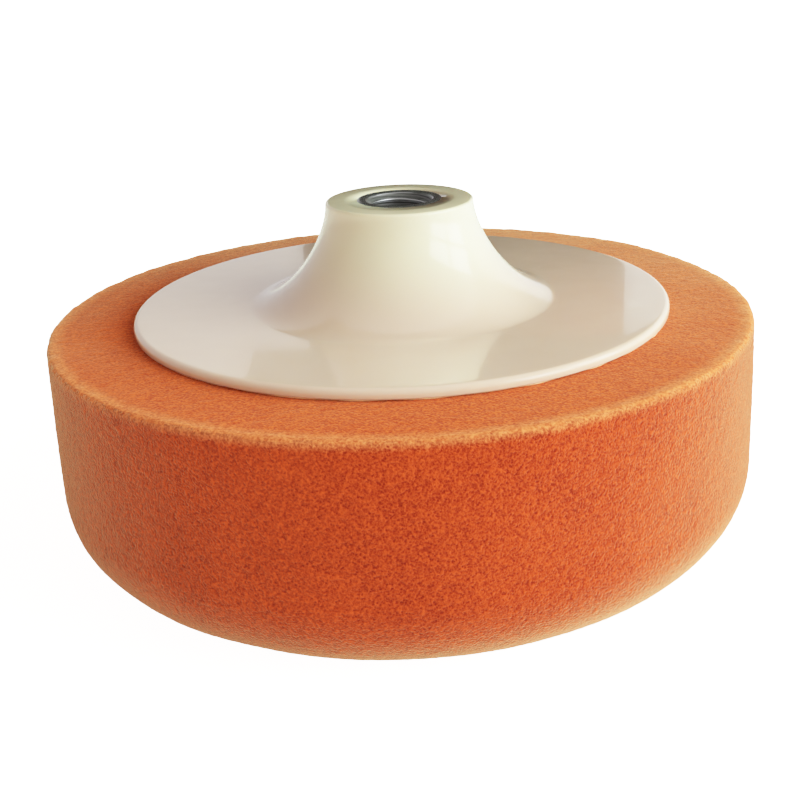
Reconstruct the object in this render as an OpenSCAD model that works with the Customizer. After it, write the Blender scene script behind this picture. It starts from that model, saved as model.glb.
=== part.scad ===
// Foam polishing pad for a rotary polisher: a puck of open-cell foam bonded to a moulded backing
// plate, whose trumpet-shaped hub holds a steel insert with an M14 x 2 thread.
// Millimetres, +Z up. The working face rests on z = 0 and the spindle axis is the Z axis.

/* [Foam pad] */
// Diameter of the foam at its upper edge
foam_d = 150; // [120:1:200]
// Height of the foam puck
foam_h = 49; // [30:1:70]
// How far the side stands out past the upper edge where it meets the face corner
foam_belly = 0.8; // [0:0.1:3]
// Corner radius between the working face and the side
face_corner_r = 17.5; // [4:0.5:22]
// Radius of the upper edge, where the blade left the block
foam_edge_r = 0.8; // [0.3:0.1:3]

/* [Glue film] */
// Thickness of the glue film between foam and plate
glue_t = 0.3; // [0.1:0.1:1]
// How far the film stays inside the plate's rim
glue_inset = 1.2; // [0.5:0.1:5]

/* [Backing plate] */
// Diameter of the plate
plate_d = 115; // [90:0.5:140]
// Thickness of the plate
plate_t = 2; // [1.6:0.1:5]
// Radius of the plate's upper rim edge
rim_r = 1.2; // [0.3:0.1:1.4]
// Radius of the plate's lower rim edge
rim_foot_r = 0.3; // [0.1:0.1:0.4]

/* [Hub] */
// Diameter of the hub's flat seat, with its edge radius
hub_d = 31.4; // [27:0.1:40]
// Height of the hub above the plate
hub_h = 21.5; // [19.5:0.1:40]
// Radius of the edge round the seat
hub_edge_r = 0.6; // [0.2:0.1:1.5]
// How far the flare reaches out past the seat before it meets the plate
flare_w = 17.5; // [10:0.5:22]
// Fullness of the flare: 1 is a quarter ellipse, 2 is a straight cone
flare_power = 1.25; // [1:0.05:1.9]

/* [Cored underside] */
// Wall left between a pocket and the flare
flare_wall = 3.2; // [2:0.1:4]
// Wall left between a pocket and the insert's hexagon
boss_wall = 2.4; // [1.5:0.1:4]
// Number of radial ribs between the pockets
rib_count = 8; // [4:1:12]
// Thickness of a rib
rib_t = 2; // [1.2:0.1:3]

/* [Threaded insert] */
// Outer diameter of the insert's round body
insert_d = 18; // [17:0.5:22]
// Length of the insert, from the seat down
insert_len = 20; // [16:0.5:21.5]
// Width across the flats of the hexagon at the insert's foot
hex_af = 22; // [20:0.5:26]
// Height of the hexagon
hex_h = 7; // [4:0.5:9]
// Nominal diameter of the thread
thread_d = 14; // [10:1:16]
// Pitch of the thread
thread_pitch = 2; // [1.5:0.25:2]
// Depth and half width of the groove that keys the insert into the plastic
groove_r = 1; // [0.5:0.1:1.4]
// Distance of the groove's middle below the seat
groove_drop = 6; // [3:0.5:9]

/* [Hidden] */

FOAM_COLOR = [0.87, 0.36, 0.14];
GLUE_COLOR = [0.93, 0.87, 0.74];
PLATE_COLOR = [0.90, 0.87, 0.79];
STEEL_COLOR = [0.62, 0.63, 0.65];

eps = 0.01;
round_fn = 180;
groove_fn = 32;
edge_steps = 8;
corner_steps = 18;
flare_steps = 28;
pocket_steps = 9;

foam_r = foam_d / 2;
belly_r = foam_r + foam_belly;
plate_r = plate_d / 2;
hub_r = hub_d / 2;

plate_z = foam_h + glue_t;
plate_top_z = plate_z + plate_t;
hub_top_z = plate_top_z + hub_h;
hub_side_z = hub_top_z - hub_edge_r;
flare_drop = hub_side_z - plate_top_z;
foot_r = hub_r + flare_w;

insert_z = hub_top_z - insert_len;
hex_top_z = insert_z + hex_h;
hex_corner_r = hex_af / 2 / cos(30);
boss_r = hex_corner_r + boss_wall;

// The tapping bore is one pitch under the thread's nominal diameter
bore_d = thread_d - thread_pitch;
lead_land = 0.3;
bore_lead = thread_pitch / 2 + lead_land;
bore_exit = 0.5;

// Points of an arc about [cx, cy], from angle a0 to a1
function arc(cx, cy, r, a0, a1, steps) =
    [for (i = [0 : steps]) let (a = a0 + (a1 - a0) * i / steps) [cx + r * cos(a), cy + r * sin(a)]];

// A point of the flare: t = 0 at the seat's edge, 90 where it meets the plate
function flare_point(t) = [
    hub_r + flare_w * (1 - pow(cos(t), flare_power)),
    hub_side_z - flare_drop * pow(sin(t), flare_power)
];

// The direction square to the flare, into the plastic
function flare_inward(t) =
    let (
        dr = flare_w * pow(cos(t), flare_power - 1) * sin(t),
        dz = -flare_drop * pow(sin(t), flare_power - 1) * cos(t)
    )
    [dz, -dr] / norm([dr, dz]);

// One closed solid: straight sides with a slight belly, a large face corner and a small upper edge
module foam_pad() {
    color(FOAM_COLOR)
    rotate_extrude($fn = round_fn)
    polygon(concat(
        [[0, 0]],
        arc(belly_r - face_corner_r, face_corner_r, face_corner_r, -90, 0, corner_steps),
        arc(foam_r - foam_edge_r, foam_h - foam_edge_r, foam_edge_r, 0, 90, edge_steps),
        [[0, foam_h]]
    ));
}

// The film that bonds the foam to the plate, held back from the plate's rim
module glue_film() {
    color(GLUE_COLOR)
    translate([0, 0, foam_h])
    cylinder(h = glue_t, r = plate_r - glue_inset, $fn = round_fn);
}

// Outer outline of the plate and hub
module backing_outline() {
    polygon(concat(
        [[0, plate_z]],
        arc(plate_r - rim_foot_r, plate_z + rim_foot_r, rim_foot_r, -90, 0, edge_steps),
        arc(plate_r - rim_r, plate_top_z - rim_r, rim_r, 0, 90, edge_steps),
        [for (i = [flare_steps : -1 : 0]) flare_point(90 * i / flare_steps)],
        arc(hub_r - hub_edge_r, hub_side_z, hub_edge_r, 0, 90, edge_steps),
        [[0, hub_top_z]]
    ));
}

// Section of the cored ring between the boss and the flare's wall
module pocket_section() {
    intersection() {
        polygon(concat(
            [[0, plate_z - eps]],
            [[foot_r - flare_wall, plate_z - eps]],
            [for (i = [pocket_steps - 1 : -1 : 1])
                let (t = 90 * i / pocket_steps)
                flare_point(t) + flare_wall * flare_inward(t)],
            [[0, hub_side_z - flare_wall]]
        ));
        translate([boss_r, plate_z - eps])
        square([foot_r, hub_h]);
    }
}

// Pockets that keep the hub's walls even, parted by ribs and closed by the glued foam
module pockets() {
    difference() {
        rotate_extrude($fn = round_fn) pocket_section();
        for (i = [0 : rib_count - 1])
            rotate([0, 0, 360 * i / rib_count])
            translate([0, -rib_t / 2, foam_h])
            cube([foot_r, rib_t, plate_t + hub_h]);
    }
}

// Outside of the insert: a round body with a groove, on a hexagonal foot
module insert_body() {
    difference() {
        translate([0, 0, insert_z])
        cylinder(h = insert_len, d = insert_d, $fn = round_fn);
        translate([0, 0, hub_top_z - groove_drop])
        rotate_extrude($fn = round_fn)
        translate([insert_d / 2, 0])
        circle(r = groove_r, $fn = groove_fn);
    }
    translate([0, 0, insert_z])
    cylinder(h = hex_h, r = hex_corner_r, $fn = 6);
}

// Plate and hub in one moulding, shaped round the insert
module backing_hub() {
    color(PLATE_COLOR)
    difference() {
        rotate_extrude($fn = round_fn) backing_outline();
        insert_body();
        pockets();
    }
}

// Turned steel insert with its bore, a lead-in at the seat and a small chamfer at the foot
module threaded_insert() {
    color(STEEL_COLOR)
    difference() {
        insert_body();
        translate([0, 0, insert_z - eps])
        cylinder(h = insert_len + 2 * eps, d = bore_d, $fn = round_fn);
        translate([0, 0, hub_top_z - bore_lead])
        cylinder(h = bore_lead + eps, d1 = bore_d, d2 = bore_d + 2 * (bore_lead + eps), $fn = round_fn);
        translate([0, 0, insert_z - eps])
        cylinder(h = bore_exit + eps, d1 = bore_d + 2 * (bore_exit + eps), d2 = bore_d, $fn = round_fn);
    }
}

foam_pad();
glue_film();
backing_hub();
threaded_insert();
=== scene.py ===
import math

import bmesh
import bpy
from mathutils import Matrix, Vector, noise


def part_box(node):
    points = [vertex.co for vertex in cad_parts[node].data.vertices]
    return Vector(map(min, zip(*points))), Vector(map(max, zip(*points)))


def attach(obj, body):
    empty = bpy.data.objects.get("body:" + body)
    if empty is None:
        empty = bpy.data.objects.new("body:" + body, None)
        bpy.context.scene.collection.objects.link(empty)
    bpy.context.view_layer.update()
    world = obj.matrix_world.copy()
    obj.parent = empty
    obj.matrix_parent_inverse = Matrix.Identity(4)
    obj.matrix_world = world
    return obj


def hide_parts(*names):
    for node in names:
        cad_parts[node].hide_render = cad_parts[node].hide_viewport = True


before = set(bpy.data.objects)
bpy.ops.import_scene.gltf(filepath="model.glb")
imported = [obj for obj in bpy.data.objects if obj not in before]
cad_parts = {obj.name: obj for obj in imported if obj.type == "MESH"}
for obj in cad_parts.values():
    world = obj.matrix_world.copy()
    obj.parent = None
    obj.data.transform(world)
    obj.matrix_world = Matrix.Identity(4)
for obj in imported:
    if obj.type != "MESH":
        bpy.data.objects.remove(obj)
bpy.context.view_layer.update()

# --- Camera -------------------------------------------------------------------------------------
# A hand-held close-up from a forearm's length, a little above the hub and rolled by a degree and a
# half. The view is a little off the middle of a wider frame, which is why the lens is shifted.
MM = 0.001
CAMERA_BACK = 254.9 * MM
CAMERA_UP = 126.2 * MM
CAMERA_YAW = -3.60
CAMERA_DOWN = 21.43
CAMERA_ROLL = -1.50
CAMERA_LENS = 54.33
CAMERA_SHIFT = -0.10

camera = bpy.data.objects.new("camera", bpy.data.cameras.new("camera"))
bpy.context.scene.collection.objects.link(camera)
camera.data.lens = CAMERA_LENS
camera.data.sensor_width = 36
camera.data.shift_x = CAMERA_SHIFT
camera.data.clip_start = 10 * MM
camera.data.clip_end = 50
camera.matrix_world = (
    Matrix.Translation((0, -CAMERA_BACK, CAMERA_UP))
    @ Matrix.Rotation(math.radians(CAMERA_YAW), 4, "Z")
    @ Matrix.Rotation(math.radians(90 - CAMERA_DOWN), 4, "X")
    @ Matrix.Rotation(math.radians(CAMERA_ROLL), 4, "Z")
)
bpy.context.scene.camera = camera

# --- Foam pad -----------------------------------------------------------------------------------
# A puck of open-cell polyurethane foam, sawn from a block, ground to a rounded face and glued under
# the plate. The blade leaves the upper edge a little ragged, and the cell walls show as a fine bright
# grain. A painted highlight makes the upper edge pale, for the light that shines through the foam
# there.
AXIS = Vector((0, 0, 1))
_, foam_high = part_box("foam_pad")
FOAM_BELLY_R = foam_high.x
FOAM_R = FOAM_BELLY_R - 0.8 * MM
FOAM_H = foam_high.z
FACE_CORNER_R = 17.5 * MM
FOAM_EDGE_R = 1.0 * MM
FOAM_STEP = 0.56 * MM
FOAM_TURNS = 840
UNDER_PLATE_R = 56 * MM
CELLS_PER_METRE = 1700
CORNER_STEPS = 46
SWAY = 0.25 * MM
SWAY_PER_METRE = 45
FINE_GRIT = 0.05 * MM
FINE_GRIT_PER_METRE = 520
GRIT = 0.12 * MM
GRIT_PER_METRE = 1050
NICK = 0.22 * MM
NICK_PER_METRE = 330
NICK_REACH = 3 * MM
SIDE_DEEP = (0.18, 0.005, 0.001, 1)
SIDE_BRIGHT = (0.62, 0.068, 0.012, 1)
# The top's colours are the side's painted lighter, for the light that falls on the top
TOP_DEEP_PAINTED_LIT = (0.32, 0.017, 0.004, 1)
TOP_BRIGHT_PAINTED_LIT = (0.74, 0.118, 0.020, 1)
# Painted highlight: the pale colour of the band along the foam's upper edge
FOAM_EDGE_PAINTED_HIGHLIGHT = (0.88, 0.31, 0.12, 1)
FOAM_HAZE = (1.0, 0.74, 0.42, 1)


def arc(centre_r, centre_z, radius, start, end, steps):
    """Points of an arc in the (radius, height) half plane, angles in degrees."""
    turn = [math.radians(start + (end - start) * i / steps) for i in range(steps + 1)]
    return [(centre_r + radius * math.cos(a), centre_z + radius * math.sin(a)) for a in turn]


def resample(points, step):
    """The same outline with a point at least every step."""
    out = [points[0]]
    for (r0, z0), (r1, z1) in zip(points, points[1:]):
        count = max(1, round(math.hypot(r1 - r0, z1 - z0) / step))
        out += [(r0 + (r1 - r0) * i / count, z0 + (z1 - z0) * i / count) for i in range(1, count + 1)]
    return out


def spin_outline(outline, turns, sectors=8):
    """Spins an outline in (radius, height) round the axis: one sector, then its copies, welded."""
    bm = bmesh.new()
    row = [bm.verts.new((r, 0, z)) for r, z in outline]
    edges = [bm.edges.new(pair) for pair in zip(row, row[1:])]
    bmesh.ops.spin(
        bm, geom=row + edges, cent=(0, 0, 0), axis=AXIS, dvec=(0, 0, 0),
        angle=math.tau / sectors, steps=turns // sectors, use_merge=False, use_duplicate=False,
    )
    sector = bm.verts[:] + bm.edges[:] + bm.faces[:]
    for k in range(1, sectors):
        copied = bmesh.ops.duplicate(bm, geom=sector)["geom"]
        copied_verts = [g for g in copied if isinstance(g, bmesh.types.BMVert)]
        turned = Matrix.Rotation(math.tau * k / sectors, 3, "Z")
        bmesh.ops.rotate(bm, verts=copied_verts, cent=(0, 0, 0), matrix=turned)
    bmesh.ops.remove_doubles(bm, verts=bm.verts, dist=0.002 * MM)
    bmesh.ops.recalc_face_normals(bm, faces=bm.faces)
    return bm


def add_piece(name, bm, material, smooth=True):
    """Turns a bmesh into an object at the origin with one material."""
    mesh = bpy.data.meshes.new(name)
    bm.to_mesh(mesh)
    bm.free()
    for polygon in mesh.polygons:
        polygon.use_smooth = smooth
    mesh.materials.append(material)
    piece = bpy.data.objects.new(name, mesh)
    bpy.context.scene.collection.objects.link(piece)
    return piece


def add_node(tree, kind, inputs=None, **settings):
    """A shader node with its settings and its unlinked input values. A socket as a value is linked."""
    made = tree.nodes.new(kind)
    for key, value in settings.items():
        setattr(made, key, value)
    for key, value in (inputs or {}).items():
        if isinstance(value, bpy.types.NodeSocket):
            tree.links.new(value, made.inputs[key])
        else:
            made.inputs[key].default_value = value
    return made


def math_node(tree, operation, first, second=0.0, third=0.0, clamp=False):
    """The result of one Math node."""
    made = add_node(
        tree, "ShaderNodeMath", {0: first, 1: second, 2: third}, operation=operation, use_clamp=clamp
    )
    return made.outputs[0]


def smooth_range(tree, value, low, high, out_low=0.0, out_high=1.0):
    """value eased from out_low at low to out_high at high."""
    made = add_node(
        tree, "ShaderNodeMapRange",
        {"Value": value, "From Min": low, "From Max": high, "To Min": out_low, "To Max": out_high},
        interpolation_type="SMOOTHSTEP",
    )
    return made.outputs["Result"]


def mix_colour(tree, factor, first, second, blend="MIX"):
    """One colour over another by a factor."""
    made = add_node(
        tree, "ShaderNodeMix", {0: factor, 6: first, 7: second}, data_type="RGBA", blend_type=blend
    )
    return made.outputs[2]


def new_group(name, inputs, outputs):
    """A shader node group with float or vector sockets, and its inner input and output nodes."""
    group = bpy.data.node_groups.new(name, "ShaderNodeTree")
    for label, kind in inputs:
        group.interface.new_socket(label, in_out="INPUT", socket_type=kind)
    for label, kind in outputs:
        group.interface.new_socket(label, in_out="OUTPUT", socket_type=kind)
    return group, group.nodes.new("NodeGroupInput"), group.nodes.new("NodeGroupOutput")


def new_material(name):
    """A material with its Principled shader and the object's own coordinates."""
    material = bpy.data.materials.new(name)
    material.use_nodes = True
    tree = material.node_tree
    shader = tree.nodes["Principled BSDF"]
    place = add_node(tree, "ShaderNodeTexCoord").outputs["Object"]
    return material, tree, shader, place


# Distance from the axis and height, for patterns that follow a turned part
polar_group, polar_in, polar_out = new_group(
    "axis_distance", [("Place", "NodeSocketVector")],
    [("Radius", "NodeSocketFloat"), ("Height", "NodeSocketFloat")],
)
polar_parts = add_node(polar_group, "ShaderNodeSeparateXYZ", {0: polar_in.outputs["Place"]})
flat_x, flat_y, flat_z = polar_parts.outputs
across = add_node(polar_group, "ShaderNodeCombineXYZ", {"X": flat_x, "Y": flat_y})
length = add_node(polar_group, "ShaderNodeVectorMath", {0: across.outputs[0]}, operation="LENGTH")
polar_group.links.new(length.outputs["Value"], polar_out.inputs["Radius"])
polar_group.links.new(flat_z, polar_out.inputs["Height"])

# Open cells: a fibrous grain of bright cell walls over darker pores
cells_group, cells_in, cells_out = new_group(
    "open_cells", [("Place", "NodeSocketVector"), ("Cells per metre", "NodeSocketFloat")],
    [("Tone", "NodeSocketFloat")],
)
cell_place = cells_in.outputs["Place"]
cell_scale = cells_in.outputs["Cells per metre"]
fibres = add_node(
    cells_group, "ShaderNodeTexNoise",
    {"Vector": cell_place, "Scale": cell_scale, "Detail": 3.0, "Roughness": 0.6, "Distortion": 0.6},
)
round_cells = add_node(
    cells_group, "ShaderNodeTexVoronoi",
    {"Vector": cell_place, "Scale": math_node(cells_group, "MULTIPLY", cell_scale, 1.25)},
    feature="F1",
)
walls = smooth_range(cells_group, round_cells.outputs["Distance"], 0.15, 0.90)
fibre_tone = smooth_range(cells_group, fibres.outputs["Fac"], 0.30, 0.72)
fibre_share = math_node(cells_group, "MULTIPLY", fibre_tone, 0.60)
cell_tone = math_node(cells_group, "MULTIPLY_ADD", walls, 0.40, fibre_share)
cells_group.links.new(cell_tone, cells_out.inputs["Tone"])


def new_foam(name, deep, bright, relief, haze_roughness):
    """Foam that is deep in its pores and bright on its walls, with a painted highlight along the upper
    edge.
    """
    material, tree, shader, place = new_material(name)
    cells = add_node(tree, "ShaderNodeGroup", node_tree=cells_group)
    tree.links.new(place, cells.inputs["Place"])
    cells.inputs["Cells per metre"].default_value = CELLS_PER_METRE
    polar = add_node(tree, "ShaderNodeGroup", node_tree=polar_group)
    tree.links.new(place, polar.inputs["Place"])
    patches = add_node(tree, "ShaderNodeTexNoise", {"Vector": place, "Scale": 70.0, "Detail": 3.0})
    drift = math_node(tree, "MULTIPLY_ADD", patches.outputs["Fac"], 0.3, -0.15)
    grain = math_node(tree, "ADD", cells.outputs["Tone"], drift, clamp=True)
    body_colour = mix_colour(tree, grain, deep, bright)
    # A pale band along the upper edge: a painted highlight for light shining through the foam at its edge
    edge_across = smooth_range(tree, polar.outputs["Radius"], FOAM_R - 4.5 * MM, FOAM_R + 0.2 * MM)
    ragged_height = math_node(tree, "MULTIPLY_ADD", grain, 0.8 * MM, polar.outputs["Height"])
    edge_up = smooth_range(tree, ragged_height, FOAM_H - 1.8 * MM, FOAM_H + 0.9 * MM)
    edge_grain = math_node(tree, "MULTIPLY_ADD", grain, 0.45, 0.30)
    painted_highlight_mask = math_node(tree, "MULTIPLY", edge_grain, math_node(tree, "MULTIPLY", edge_across, edge_up))
    bump = add_node(
        tree, "ShaderNodeBump",
        {"Height": cells.outputs["Tone"], "Strength": relief, "Distance": 0.30 * MM},
    )
    tree.links.new(mix_colour(tree, painted_highlight_mask, body_colour, FOAM_EDGE_PAINTED_HIGHLIGHT), shader.inputs["Base Color"])
    tree.links.new(bump.outputs["Normal"], shader.inputs["Normal"])
    shader.inputs["Roughness"].default_value = 0.95
    shader.inputs["Specular IOR Level"].default_value = 0.10
    shader.inputs["Sheen Weight"].default_value = 0.85
    shader.inputs["Sheen Roughness"].default_value = haze_roughness
    shader.inputs["Sheen Tint"].default_value = FOAM_HAZE
    return material


side_foam = new_foam("ground_side_foam", SIDE_DEEP, SIDE_BRIGHT, 0.48, 0.40)
# The top's copy of the foam has its colour painted lighter for the light from above, and a tighter sheen
top_foam = new_foam("sawn_top_foam_painted_lit", TOP_DEEP_PAINTED_LIT, TOP_BRIGHT_PAINTED_LIT, 0.16, 0.26)

face_r = FOAM_BELLY_R - FACE_CORNER_R
foam_outline = (
    resample([(0, 0), (face_r, 0)], 4 * FOAM_STEP)
    + arc(face_r, FACE_CORNER_R, FACE_CORNER_R, -90, 0, CORNER_STEPS)[1:]
    + resample([(FOAM_BELLY_R, FACE_CORNER_R), (FOAM_R, FOAM_H - FOAM_EDGE_R)], FOAM_STEP)[1:]
    + arc(FOAM_R - FOAM_EDGE_R, FOAM_H - FOAM_EDGE_R, FOAM_EDGE_R, 0, 90, 3)[1:]
    + resample([(FOAM_R - FOAM_EDGE_R, FOAM_H), (UNDER_PLATE_R, FOAM_H)], FOAM_STEP)[1:]
    + resample([(UNDER_PLATE_R, FOAM_H), (0, FOAM_H)], 14 * FOAM_STEP)[1:]
)
bm = spin_outline(foam_outline, FOAM_TURNS)
bm.normal_update()
cell_moves = []
for vert in bm.verts:
    radius = math.hypot(vert.co.x, vert.co.y)
    if vert.co.z > FOAM_H - 0.1 * MM and radius < UNDER_PLATE_R + 0.1 * MM:
        continue
    sway = noise.noise(vert.co * SWAY_PER_METRE) * SWAY if vert.co.z > 0.2 * MM else 0.0
    grit = noise.noise(vert.co * FINE_GRIT_PER_METRE) * FINE_GRIT
    grit += noise.noise(vert.co * GRIT_PER_METRE) * GRIT
    grit *= 1 - 0.6 * abs(vert.normal.z)
    edge_near = max(0.0, 1 - math.hypot(radius - FOAM_R, vert.co.z - FOAM_H) / NICK_REACH)
    nick = noise.noise(vert.co * NICK_PER_METRE) * NICK * edge_near
    cell_moves.append((vert, vert.normal * (sway + grit + nick)))
for vert, move in cell_moves:
    vert.co += move
    vert.co.z = max(vert.co.z, 0.0)
pad_foam = add_piece("pad_foam", bm, side_foam)
pad_foam.data.materials.append(top_foam)
# The top faces take the copy of the foam that is painted lighter
for polygon in pad_foam.data.polygons:
    polygon.material_index = int(polygon.center.z > FOAM_H - 0.5 * MM and polygon.normal.z > 0.7)
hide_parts("foam_pad")
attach(pad_foam, "root")

# --- Glue line ----------------------------------------------------------------------------------
# A contact film between foam and plate. Pressing the plate home squeezes it out by a hair in
# places, so its edge wanders in and out under the rim.
glue_low, glue_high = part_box("glue_film")
GLUE_R = glue_high.x
# The glue is painted a light warm orange: a painted glow of light through the rim's foot, over the joint's
# shade
GLUE_THIN_PAINTED_GLOW = (0.85, 0.42, 0.20, 1)
GLUE_THICK_PAINTED_GLOW = (0.90, 0.60, 0.38, 1)

glue_material, tree, shader, place = new_material("cured_glue")
glue_cloud = add_node(tree, "ShaderNodeTexNoise", {"Vector": place, "Scale": 260.0, "Detail": 3.0})
tree.links.new(
    mix_colour(tree, glue_cloud.outputs["Fac"], GLUE_THIN_PAINTED_GLOW, GLUE_THICK_PAINTED_GLOW), shader.inputs["Base Color"]
)
glue_bump = add_node(
    tree, "ShaderNodeBump", {"Height": glue_cloud.outputs["Fac"], "Strength": 0.5, "Distance": 0.2 * MM}
)
tree.links.new(glue_bump.outputs["Normal"], shader.inputs["Normal"])
shader.inputs["Roughness"].default_value = 0.35

glue_outline = (
    [(0, glue_low.z), (GLUE_R - 3 * MM, glue_low.z)]
    + arc(GLUE_R, (glue_low.z + glue_high.z) / 2, (glue_high.z - glue_low.z) / 2, -90, 90, 6)
    + [(GLUE_R - 3 * MM, glue_high.z), (0, glue_high.z)]
)
bm = spin_outline(glue_outline, 240)
for vert in bm.verts:
    if math.hypot(vert.co.x, vert.co.y) > GLUE_R - 1 * MM:
        reach = noise.noise(Vector((vert.co.x, vert.co.y, 0)) * 160) * 0.6 * MM + 0.5 * MM
        out = Vector((vert.co.x, vert.co.y, 0)).normalized()
        vert.co += out * reach
glue_bead = add_piece("glue_bead", bm, glue_material)
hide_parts("glue_film")
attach(glue_bead, "root")

# --- Backing plate and hub ----------------------------------------------------------------------
# One injection moulding in glossy ivory plastic: a flat round plate that sweeps up into a
# trumpet-shaped hub, moulded round the steel insert and cored out underneath between eight ribs.
hub_low, hub_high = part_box("backing_hub")
insert_low, insert_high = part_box("threaded_insert")
PLATE_R = hub_high.x
PLATE_Z = hub_low.z
PLATE_TOP_Z = PLATE_Z + 2 * MM
SEAT_Z = hub_high.z
SEAT_R = 15.7 * MM
SEAT_EDGE_R = 0.6 * MM
RIM_R = 1.2 * MM
RIM_FOOT_R = 0.3 * MM
FLARE_W = 17.5 * MM
FLARE_POWER = 1.25
FLARE_STEPS = 64
FLARE_WALL = 3.2 * MM
BOSS_WALL = 2.4 * MM
RIBS = 8
RIB_T = 2 * MM
HUB_TURNS = 240
BODY_R = 9 * MM
HEX_FLAT = 11 * MM
HEX_TOP_Z = insert_low.z + 7 * MM
GROOVE_R = 1 * MM
GROOVE_Z = SEAT_Z - 6 * MM
IVORY = (0.76, 0.685, 0.51, 1)
# The plate's ivory is painted darker and pinker: painted shade, and painted orange bounce light from the
# foam
IVORY_PAINTED_BOUNCE_SHADE = (0.65, 0.455, 0.375, 1)
IVORY_CLOUD = (0.78, 0.68, 0.55, 1)
SPECK = (0.16, 0.11, 0.07, 1)

hub_material, tree, shader, place = new_material("ivory_moulding")
polar = add_node(tree, "ShaderNodeGroup", node_tree=polar_group)
tree.links.new(place, polar.inputs["Place"])
milk = add_node(tree, "ShaderNodeTexNoise", {"Vector": place, "Scale": 35.0, "Detail": 3.0})
smears = add_node(
    tree, "ShaderNodeTexNoise",
    {"Vector": place, "Scale": 90.0, "Detail": 6.0, "Roughness": 0.7, "Distortion": 1.2},
)
# Painted shade and bounce light: the plate is mixed towards the darker, pinker ivory
painted_bounce_mask = smooth_range(tree, polar.outputs["Height"], SEAT_Z - 5 * MM, PLATE_TOP_Z)
ivory = mix_colour(tree, painted_bounce_mask, IVORY, IVORY_PAINTED_BOUNCE_SHADE)
ivory = mix_colour(tree, math_node(tree, "MULTIPLY", milk.outputs["Fac"], 0.25), ivory, IVORY_CLOUD)
grit_spots = add_node(tree, "ShaderNodeTexVoronoi", {"Vector": place, "Scale": 115.0}, feature="F1")
spot_size = smooth_range(tree, grit_spots.outputs["Distance"], 0.020, 0.034, 1.0, 0.0)
spot_pick = add_node(tree, "ShaderNodeSeparateColor", {0: grit_spots.outputs["Color"]})
spot_rare = math_node(tree, "GREATER_THAN", spot_pick.outputs["Red"], 0.80)
spots = math_node(tree, "MULTIPLY", spot_size, spot_rare)
ivory = mix_colour(tree, math_node(tree, "MULTIPLY", spots, 0.75), ivory, SPECK)
hub_roughness = smooth_range(tree, smears.outputs["Fac"], 0.35, 0.75, 0.14, 0.26)
ripple = add_node(tree, "ShaderNodeTexNoise", {"Vector": place, "Scale": 70.0, "Detail": 1.5})
hub_bump = add_node(
    tree, "ShaderNodeBump", {"Height": ripple.outputs["Fac"], "Strength": 0.40, "Distance": 0.45 * MM}
)
tree.links.new(ivory, shader.inputs["Base Color"])
tree.links.new(hub_roughness, shader.inputs["Roughness"])
tree.links.new(hub_bump.outputs["Normal"], shader.inputs["Normal"])
shader.inputs["Subsurface Weight"].default_value = 0.30
shader.inputs["Subsurface Radius"].default_value = (1.0, 0.75, 0.5)
shader.inputs["Subsurface Scale"].default_value = 3 * MM
shader.inputs["Coat Weight"].default_value = 0.6
shader.inputs["Coat Roughness"].default_value = 0.04

flare_top_z = SEAT_Z - SEAT_EDGE_R
flare_drop = flare_top_z - PLATE_TOP_Z


def flare_point(t):
    """A point of the flare: t = 0 at the seat's edge, a quarter turn where it meets the plate."""
    return (
        SEAT_R + FLARE_W * (1 - max(math.cos(t), 0) ** FLARE_POWER),
        flare_top_z - flare_drop * math.sin(t) ** FLARE_POWER,
    )


def pocket_point(t):
    """The point one wall's thickness inside the flare at t."""
    r, z = flare_point(t)
    along = Vector((
        FLARE_W * math.cos(t) ** (FLARE_POWER - 1) * math.sin(t),
        -flare_drop * math.sin(t) ** (FLARE_POWER - 1) * math.cos(t),
    )).normalized()
    return r + FLARE_WALL * along.y, z - FLARE_WALL * along.x


def hexagon_radius(turn, flat):
    """Distance from the axis to a hexagon with its corners on the X axis."""
    return flat / math.cos((turn % (math.tau / 6)) - math.tau / 12)


def make_hexagon(bm, low, high, round_r):
    """Moves the rings of a turned shape between two heights out to the insert's hexagon."""
    for vert in bm.verts:
        radius = math.hypot(vert.co.x, vert.co.y)
        if low - 0.01 * MM < vert.co.z < high + 0.01 * MM and abs(radius - round_r) < 0.01 * MM:
            reach = hexagon_radius(math.atan2(vert.co.y, vert.co.x), HEX_FLAT) / radius
            vert.co.x *= reach
            vert.co.y *= reach


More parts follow.
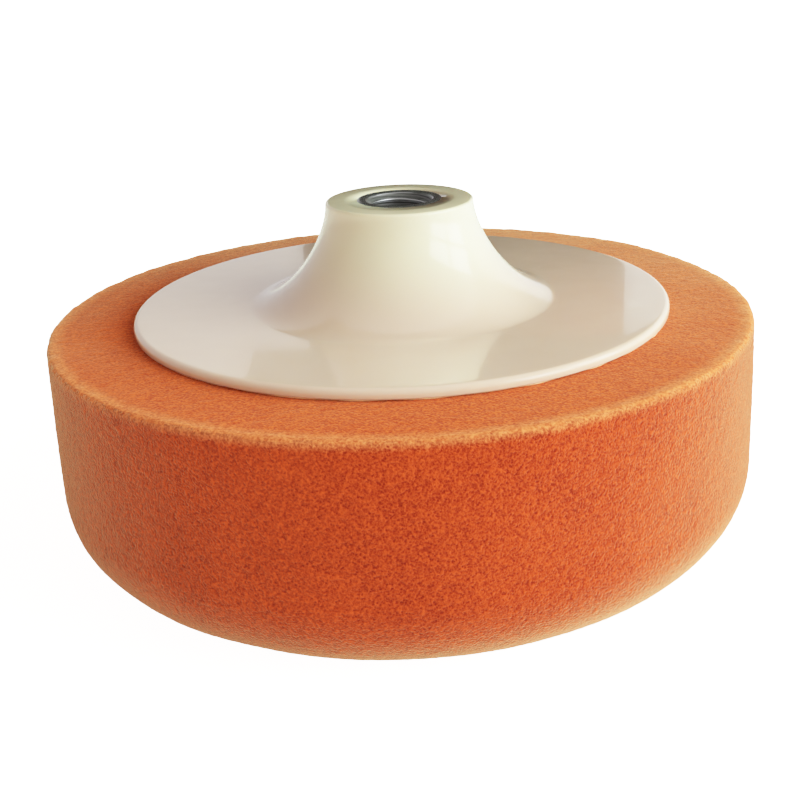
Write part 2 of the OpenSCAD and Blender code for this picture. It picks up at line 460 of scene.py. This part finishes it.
boss_r = HEX_FLAT / math.cos(math.tau / 12) + BOSS_WALL
pocket_foot_r = SEAT_R + FLARE_W - FLARE_WALL
flare_turns = [math.pi / 2 * i / FLARE_STEPS for i in range(FLARE_STEPS - 1, 0, -1)]
pocket_roof = [pocket_point(t) for t in flare_turns[::4]]
pocket_roof = [(r, z) for r, z in pocket_roof if boss_r < r < pocket_foot_r and z > PLATE_Z]
pocket = [(pocket_foot_r, PLATE_Z)] + pocket_roof + [(boss_r, pocket_roof[-1][1]), (boss_r, PLATE_Z)]
groove = arc(BODY_R, GROOVE_Z, GROOVE_R, 90, 270, 10)
socket = (
    [(BODY_R, SEAT_Z)] + groove + [(BODY_R, HEX_TOP_Z), (HEX_FLAT, HEX_TOP_Z), (HEX_FLAT, insert_low.z)]
)
hub_outline = (
    [(0, PLATE_Z)]
    + pocket[::-1]
    + resample([(pocket_foot_r, PLATE_Z), (PLATE_R - RIM_FOOT_R, PLATE_Z)], 6 * MM)[1:]
    + arc(PLATE_R - RIM_FOOT_R, PLATE_Z + RIM_FOOT_R, RIM_FOOT_R, -90, 0, 4)[1:]
    + arc(PLATE_R - RIM_R, PLATE_TOP_Z - RIM_R, RIM_R, 0, 90, 12)
    + resample([(PLATE_R - RIM_R, PLATE_TOP_Z), flare_point(math.pi / 2)], 1.5 * MM)[1:]
    + [flare_point(t) for t in flare_turns]
    + arc(SEAT_R - SEAT_EDGE_R, flare_top_z, SEAT_EDGE_R, 0, 90, 6)
    + [(BODY_R + 3 * MM, SEAT_Z)]
    + socket
    + [(0, insert_low.z)]
)
bm = spin_outline(hub_outline, HUB_TURNS)
make_hexagon(bm, insert_low.z, HEX_TOP_Z, HEX_FLAT)
for k in range(RIBS):
    rib_verts = [bm.verts.new((r, -RIB_T / 2, z)) for r, z in pocket]
    rib_face = bm.faces.new(rib_verts)
    pulled = bmesh.ops.extrude_face_region(bm, geom=[rib_face])["geom"]
    far_verts = [g for g in pulled if isinstance(g, bmesh.types.BMVert)]
    bmesh.ops.translate(bm, verts=far_verts, vec=(0, RIB_T, 0))
    rib_faces = {face for vert in rib_verts + far_verts for face in vert.link_faces}
    bmesh.ops.recalc_face_normals(bm, faces=list(rib_faces))
    turned = Matrix.Rotation(math.tau * k / RIBS, 3, "Z")
    bmesh.ops.rotate(bm, verts=rib_verts + far_verts, cent=(0, 0, 0), matrix=turned)
backing_moulding = add_piece("backing_moulding", bm, hub_material)
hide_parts("backing_hub")
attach(backing_moulding, "root")

# --- Threaded insert ----------------------------------------------------------------------------
# A turned steel bush with a hexagonal foot, moulded into the hub flush with the seat. The M14 x 2
# thread of the polisher's spindle runs in its bore, and its face keeps fine turning marks.
THREAD_R = 7 * MM
BORE_R = 6 * MM
PITCH = 2 * MM
THREAD_TURN = 160
THREAD_ROWS = 12
LEAD_R = 7.3 * MM
FACE_EDGE = 0.15 * MM
ROOT_FLAT = 0.086
FLANK = 0.289
lead_z = insert_high.z - (LEAD_R - THREAD_R)
STEEL = (0.50, 0.50, 0.51, 1)
STEEL_DARK = (0.17, 0.16, 0.15, 1)

steel_material, tree, shader, place = new_material("turned_steel")
polar = add_node(tree, "ShaderNodeGroup", node_tree=polar_group)
tree.links.new(place, polar.inputs["Place"])
rings = add_node(
    tree, "ShaderNodeTexNoise",
    {"W": polar.outputs["Radius"], "Scale": 9000.0, "Detail": 2.0}, noise_dimensions="1D",
)
film = add_node(tree, "ShaderNodeTexNoise", {"Vector": place, "Scale": 420.0, "Detail": 5.0})
# Darker towards the thread roots near the face, and darker in a patchy film
root_darkening = smooth_range(tree, polar.outputs["Radius"], BORE_R + 0.3 * MM, THREAD_R)
on_face = smooth_range(tree, polar.outputs["Height"], SEAT_Z - 0.4 * MM, SEAT_Z - 0.1 * MM, 0.85, 0.0)
root_darkening = math_node(tree, "MULTIPLY", root_darkening, on_face)
film_mask = smooth_range(tree, film.outputs["Fac"], 0.52, 0.78, 0.0, 0.45)
steel_darkening = math_node(tree, "MAXIMUM", root_darkening, film_mask)
tree.links.new(mix_colour(tree, steel_darkening, STEEL, STEEL_DARK), shader.inputs["Base Color"])
ring_roughness = smooth_range(tree, rings.outputs["Fac"], 0.3, 0.7, 0.20, 0.40)
tree.links.new(math_node(tree, "MULTIPLY_ADD", steel_darkening, 0.3, ring_roughness), shader.inputs["Roughness"])
ring_bump = add_node(
    tree, "ShaderNodeBump", {"Height": rings.outputs["Fac"], "Strength": 0.35, "Distance": 0.03 * MM}
)
tree.links.new(ring_bump.outputs["Normal"], shader.inputs["Normal"])
shader.inputs["Metallic"].default_value = 1.0


def thread_point(share):
    """A point of the thread's V section at a share of one pitch: crest, flank, root, flank."""
    flank = min(max((abs(share - 0.5) - ROOT_FLAT) / FLANK, 0.0), 1.0)
    return THREAD_R + (BORE_R - THREAD_R) * flank


bm = bmesh.new()
first_z = insert_low.z - 2 * PITCH
thread_rows = round((insert_high.z + PITCH - first_z) / PITCH) * THREAD_ROWS
profile = [
    bm.verts.new((thread_point(i % THREAD_ROWS / THREAD_ROWS), 0, first_z + PITCH * i / THREAD_ROWS))
    for i in range(thread_rows + 1)
]
profile_edges = [bm.edges.new(pair) for pair in zip(profile, profile[1:])]
bmesh.ops.spin(
    bm, geom=profile + profile_edges, cent=(0, 0, 0), axis=AXIS, dvec=(0, 0, PITCH / THREAD_TURN),
    angle=math.tau, steps=THREAD_TURN, use_merge=False, use_duplicate=False,
)
bmesh.ops.remove_doubles(bm, verts=bm.verts, dist=0.005 * MM)
for height, side in ((insert_low.z, -1), (lead_z, 1)):
    bmesh.ops.bisect_plane(
        bm, geom=bm.verts[:] + bm.edges[:] + bm.faces[:], dist=0.0001 * MM,
        plane_co=(0, 0, height), plane_no=(0, 0, side), clear_outer=True,
    )
for vert in bm.verts:
    from_end = min(lead_z - vert.co.z, vert.co.z - insert_low.z)
    radius = math.hypot(vert.co.x, vert.co.y)
    opened = max(radius, THREAD_R - from_end) / radius
    vert.co.x *= opened
    vert.co.y *= opened


def open_ring(bm, height):
    """The boundary edges of a mesh that lie at a height."""
    return [e for e in bm.edges if e.is_boundary and all(abs(v.co.z - height) < 0.01 * MM for v in e.verts)]


def pull_ring(bm, ring, radius, height, flat=None):
    """Extrudes a ring of edges to a new radius and height, or to a hexagon when flat is given."""
    pulled = bmesh.ops.extrude_edge_only(bm, edges=ring)["geom"]
    for vert in (g for g in pulled if isinstance(g, bmesh.types.BMVert)):
        turn = math.atan2(vert.co.y, vert.co.x)
        reach = hexagon_radius(turn, flat) if flat else radius
        vert.co = (reach * math.cos(turn), reach * math.sin(turn), height)
    return [g for g in pulled if isinstance(g, bmesh.types.BMEdge)]


foot_ring = open_ring(bm, insert_low.z)
ring = open_ring(bm, lead_z)
ring = pull_ring(bm, ring, LEAD_R, insert_high.z)
ring = pull_ring(bm, ring, BODY_R - FACE_EDGE, insert_high.z)
ring = pull_ring(bm, ring, BODY_R, insert_high.z - FACE_EDGE)
for groove_r, groove_z in groove:
    ring = pull_ring(bm, ring, groove_r, groove_z)
ring = pull_ring(bm, ring, BODY_R, HEX_TOP_Z)
ring = pull_ring(bm, ring, 0, HEX_TOP_Z, flat=HEX_FLAT)
ring = pull_ring(bm, ring, 0, insert_low.z, flat=HEX_FLAT)
bmesh.ops.bridge_loops(bm, edges=ring + foot_ring)
bmesh.ops.recalc_face_normals(bm, faces=bm.faces)
spindle_insert = add_piece("spindle_insert", bm, steel_material)
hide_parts("threaded_insert")
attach(spindle_insert, "root")

# --- Studio -------------------------------------------------------------------------------------
# A plain white table in a pale room that is brightest to the right, where a four-pane window
# stands. A dark board at the back, rosy in its upper right corner, shows in the plate's gloss, and
# a black shade overhead keeps the light off the back of the plate.
FLOOR_R = 6
FLOOR_DROP = 0.05 * MM

floor_material, tree, shader, place = new_material("white_table")
shader.inputs["Base Color"].default_value = (0.78, 0.78, 0.77, 1)
shader.inputs["Roughness"].default_value = 0.9
shader.inputs["Specular IOR Level"].default_value = 0.0
shader.inputs["Emission Color"].default_value = (1, 0.995, 0.985, 1)
seen = add_node(tree, "ShaderNodeLightPath").outputs["Is Camera Ray"]
tree.links.new(math_node(tree, "MULTIPLY_ADD", seen, 2.5, 0.35), shader.inputs["Emission Strength"])
open_below = add_node(tree, "ShaderNodeBsdfTransparent").outputs[0]
from_below = add_node(tree, "ShaderNodeNewGeometry").outputs["Backfacing"]
two_sided = add_node(tree, "ShaderNodeMixShader", {0: from_below, 1: shader.outputs[0], 2: open_below})
tree.links.new(two_sided.outputs[0], tree.nodes["Material Output"].inputs["Surface"])
bm = bmesh.new()
bmesh.ops.create_circle(bm, cap_ends=True, radius=FLOOR_R, segments=64)
bmesh.ops.translate(bm, verts=bm.verts, vec=(0, 0, -FLOOR_DROP))
floor = add_piece("floor", bm, floor_material, smooth=False)

world = bpy.data.worlds.new("room")
bpy.context.scene.world = world
world.use_nodes = True
tree = world.node_tree
sky = tree.nodes["Background"]
direction = add_node(tree, "ShaderNodeTexCoord").outputs["Generated"]
parts = add_node(tree, "ShaderNodeSeparateXYZ", {0: direction})
behind = smooth_range(tree, parts.outputs["Y"], -0.4, 0.7)
rightward = smooth_range(tree, parts.outputs["X"], 0.27, 1.05)
gloss_rightward = smooth_range(tree, parts.outputs["X"], -0.6, 0.5)
front_light = mix_colour(tree, rightward, (0.64, 0.48, 0.37, 1), (8.00, 9.80, 7.80, 1))
back_light = mix_colour(tree, rightward, (0.46, 0.36, 0.30, 1), (7.20, 8.80, 7.40, 1))
room_light = mix_colour(tree, behind, front_light, back_light)
front_gloss = mix_colour(tree, gloss_rightward, (0.55, 0.54, 0.53, 1), (0.80, 0.79, 0.77, 1))
back_gloss = mix_colour(tree, gloss_rightward, (0.90, 0.90, 0.92, 1), (1.45, 1.42, 1.40, 1))
room_gloss = mix_colour(tree, behind, front_gloss, back_gloss)
rays = add_node(tree, "ShaderNodeLightPath")
room = mix_colour(tree, rays.outputs["Is Glossy Ray"], room_light, room_gloss)
room = mix_colour(tree, rays.outputs["Is Camera Ray"], room, (4, 4, 3.96, 1))
tree.links.new(room, sky.inputs["Color"])
sky.inputs["Strength"].default_value = 1.0


def add_softbox(name, place, aim, width, height, radiance, colour):
    """A rectangular soft light that faces a point, with its brightness per area."""
    light = bpy.data.lights.new(name, "AREA")
    light.shape = "RECTANGLE"
    light.size = width
    light.size_y = height
    light.energy = radiance * math.pi * width * height
    light.color = colour
    lamp = bpy.data.objects.new(name, light)
    lamp.location = place
    lamp.rotation_euler = (Vector(aim) - Vector(place)).to_track_quat("-Z", "Y").to_euler()
    bpy.context.scene.collection.objects.link(lamp)
    return lamp


pad_middle = Vector((0, 0, 40 * MM))
WINDOW_PLACE = Vector((1.00, -0.35, 0.50))
PANE_W = 0.50
PANE_H = 0.30
PANE_GAP = 0.06
PANE_RADIANCE = 5.5
PANE_COLOUR = (0.87, 0.94, 1.0)
window_turn = (pad_middle - WINDOW_PLACE).to_track_quat("-Z", "Y")
for side, column in (("left", -0.5), ("right", 0.5)):
    for level, row in (("low", -0.5), ("high", 0.5)):
        offset = Vector((column * (PANE_W + PANE_GAP), row * (PANE_H + PANE_GAP), 0))
        pane = WINDOW_PLACE + window_turn @ offset
        add_softbox(
            f"window_pane_{side}_{level}", pane, pane + (pad_middle - WINDOW_PLACE), PANE_W, PANE_H,
            PANE_RADIANCE, PANE_COLOUR,
        )

BOARD_W = 0.152
BOARD_H = 0.34
BOARD_PLACE = (0.030, 0.30, 0.19)
BOARD_DARK = (0.03, 0.01, 0.01, 1)
BOARD_ROSE = (0.62, 0.22, 0.16, 1)
board_material, tree, shader, place = new_material("grey_board")
shader.inputs["Base Color"].default_value = (0, 0, 0, 1)
shader.inputs["Specular IOR Level"].default_value = 0.0
board_parts = add_node(tree, "ShaderNodeSeparateXYZ", {0: place})
rose_across = smooth_range(tree, board_parts.outputs["X"], 0.035, 0.100)
rose_up = smooth_range(tree, board_parts.outputs["Z"], 0.115, 0.160)
rose = math_node(tree, "MULTIPLY", rose_across, rose_up)
tree.links.new(mix_colour(tree, rose, BOARD_DARK, BOARD_ROSE), shader.inputs["Emission Color"])
shader.inputs["Emission Strength"].default_value = 1.0
bm = bmesh.new()
bmesh.ops.create_grid(bm, x_segments=1, y_segments=1, size=0.5)
bmesh.ops.scale(bm, vec=(BOARD_W, BOARD_H, 1), verts=bm.verts)
bmesh.ops.rotate(bm, verts=bm.verts, cent=(0, 0, 0), matrix=Matrix.Rotation(math.pi / 2, 3, "X"))
bmesh.ops.translate(bm, verts=bm.verts, vec=BOARD_PLACE)
board = add_piece("grey_board", bm, board_material, smooth=False)
board.visible_camera = False
board.visible_diffuse = False
board.visible_shadow = False

SHADE_SIDE = 0.20
SHADE_PLACE = (0.04, 0.10, 0.13)
shade_material, tree, shader, place = new_material("black_shade")
shader.inputs["Base Color"].default_value = (0.02, 0.02, 0.02, 1)
bm = bmesh.new()
bmesh.ops.create_grid(bm, x_segments=1, y_segments=1, size=0.5)
bmesh.ops.scale(bm, vec=(SHADE_SIDE, SHADE_SIDE, 1), verts=bm.verts)
bmesh.ops.translate(bm, verts=bm.verts, vec=SHADE_PLACE)
shade = add_piece("overhead_shade", bm, shade_material, smooth=False)
shade.visible_camera = False

# The camera's film: straight up to the knee, then a shoulder that rolls bright tones off to white
FILM_KNEE = 0.25
FILM_WHITE = 3.2
FILM_POINTS = 10
film = bpy.context.scene.view_settings
film.view_transform = "Standard"
film.use_curve_mapping = True
film.curve_mapping.white_level = (FILM_WHITE, FILM_WHITE, FILM_WHITE)
for i in range(FILM_POINTS):
    tone = FILM_KNEE + (FILM_WHITE - FILM_KNEE) * (i / FILM_POINTS) ** 2
    rolled = 1 - (1 - FILM_KNEE) * math.exp((FILM_KNEE - tone) / (1 - FILM_KNEE))
    film.curve_mapping.curves[3].points.new(tone / FILM_WHITE, rolled)
film.curve_mapping.update()
